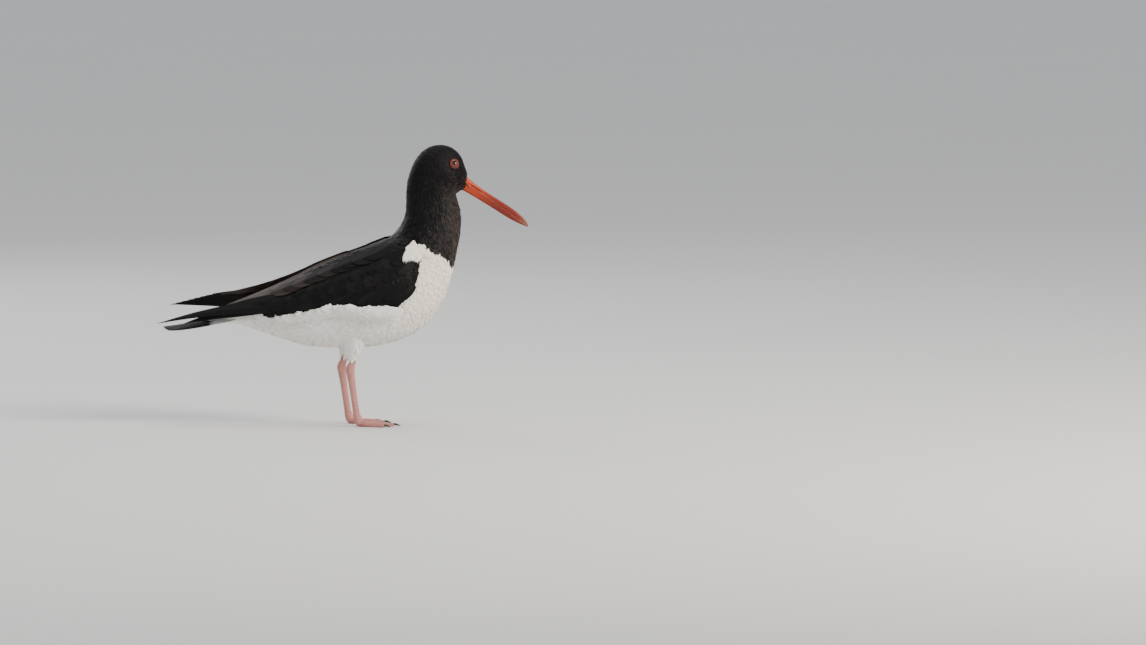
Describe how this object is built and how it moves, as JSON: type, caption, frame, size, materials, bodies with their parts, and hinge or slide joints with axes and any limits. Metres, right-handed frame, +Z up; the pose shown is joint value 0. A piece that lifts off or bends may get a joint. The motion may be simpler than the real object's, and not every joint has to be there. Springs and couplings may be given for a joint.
{
  "type": "oystercatcher",
  "caption": "Still, life-size model of a black and white wading bird standing with its neck up and its long orange bill tipped down.",
  "frame": {"origin": "on the floor, below the middle of the bird's box from bill tip to wing tip and from side to side", "axes": "+X the way the bird faces, +Y to its left, +Z up"},
  "size_m": [0.3517, 0.1126, 0.2666],
  "materials": {
    "black_plumage": "soft, faintly glossy feathers",
    "white_plumage": "soft matt feathers",
    "bill": "satin horn",
    "eye": "wet gloss",
    "leg": "scaled skin, satin",
    "claw": "satin horn"
  },
  "bodies": {
    "root": {"head": "black_plumage", "neck": "black_plumage", "torso": "white_plumage", "tail": "black_plumage", "wing_right": "black_plumage", "wing_left": "black_plumage", "thigh_right": "white_plumage", "thigh_left": "white_plumage", "bill_upper": "bill", "bill_lower": "bill", "eye_right": "eye", "eye_left": "eye", "shank_right": "leg", "shank_left": "leg", "foot_right": "leg", "foot_left": "leg", "claw_inner_right": "claw", "claw_middle_right": "claw", "claw_outer_right": "claw", "claw_inner_left": "claw", "claw_middle_left": "claw", "claw_outer_left": "claw"}
  },
  "joints": []
}
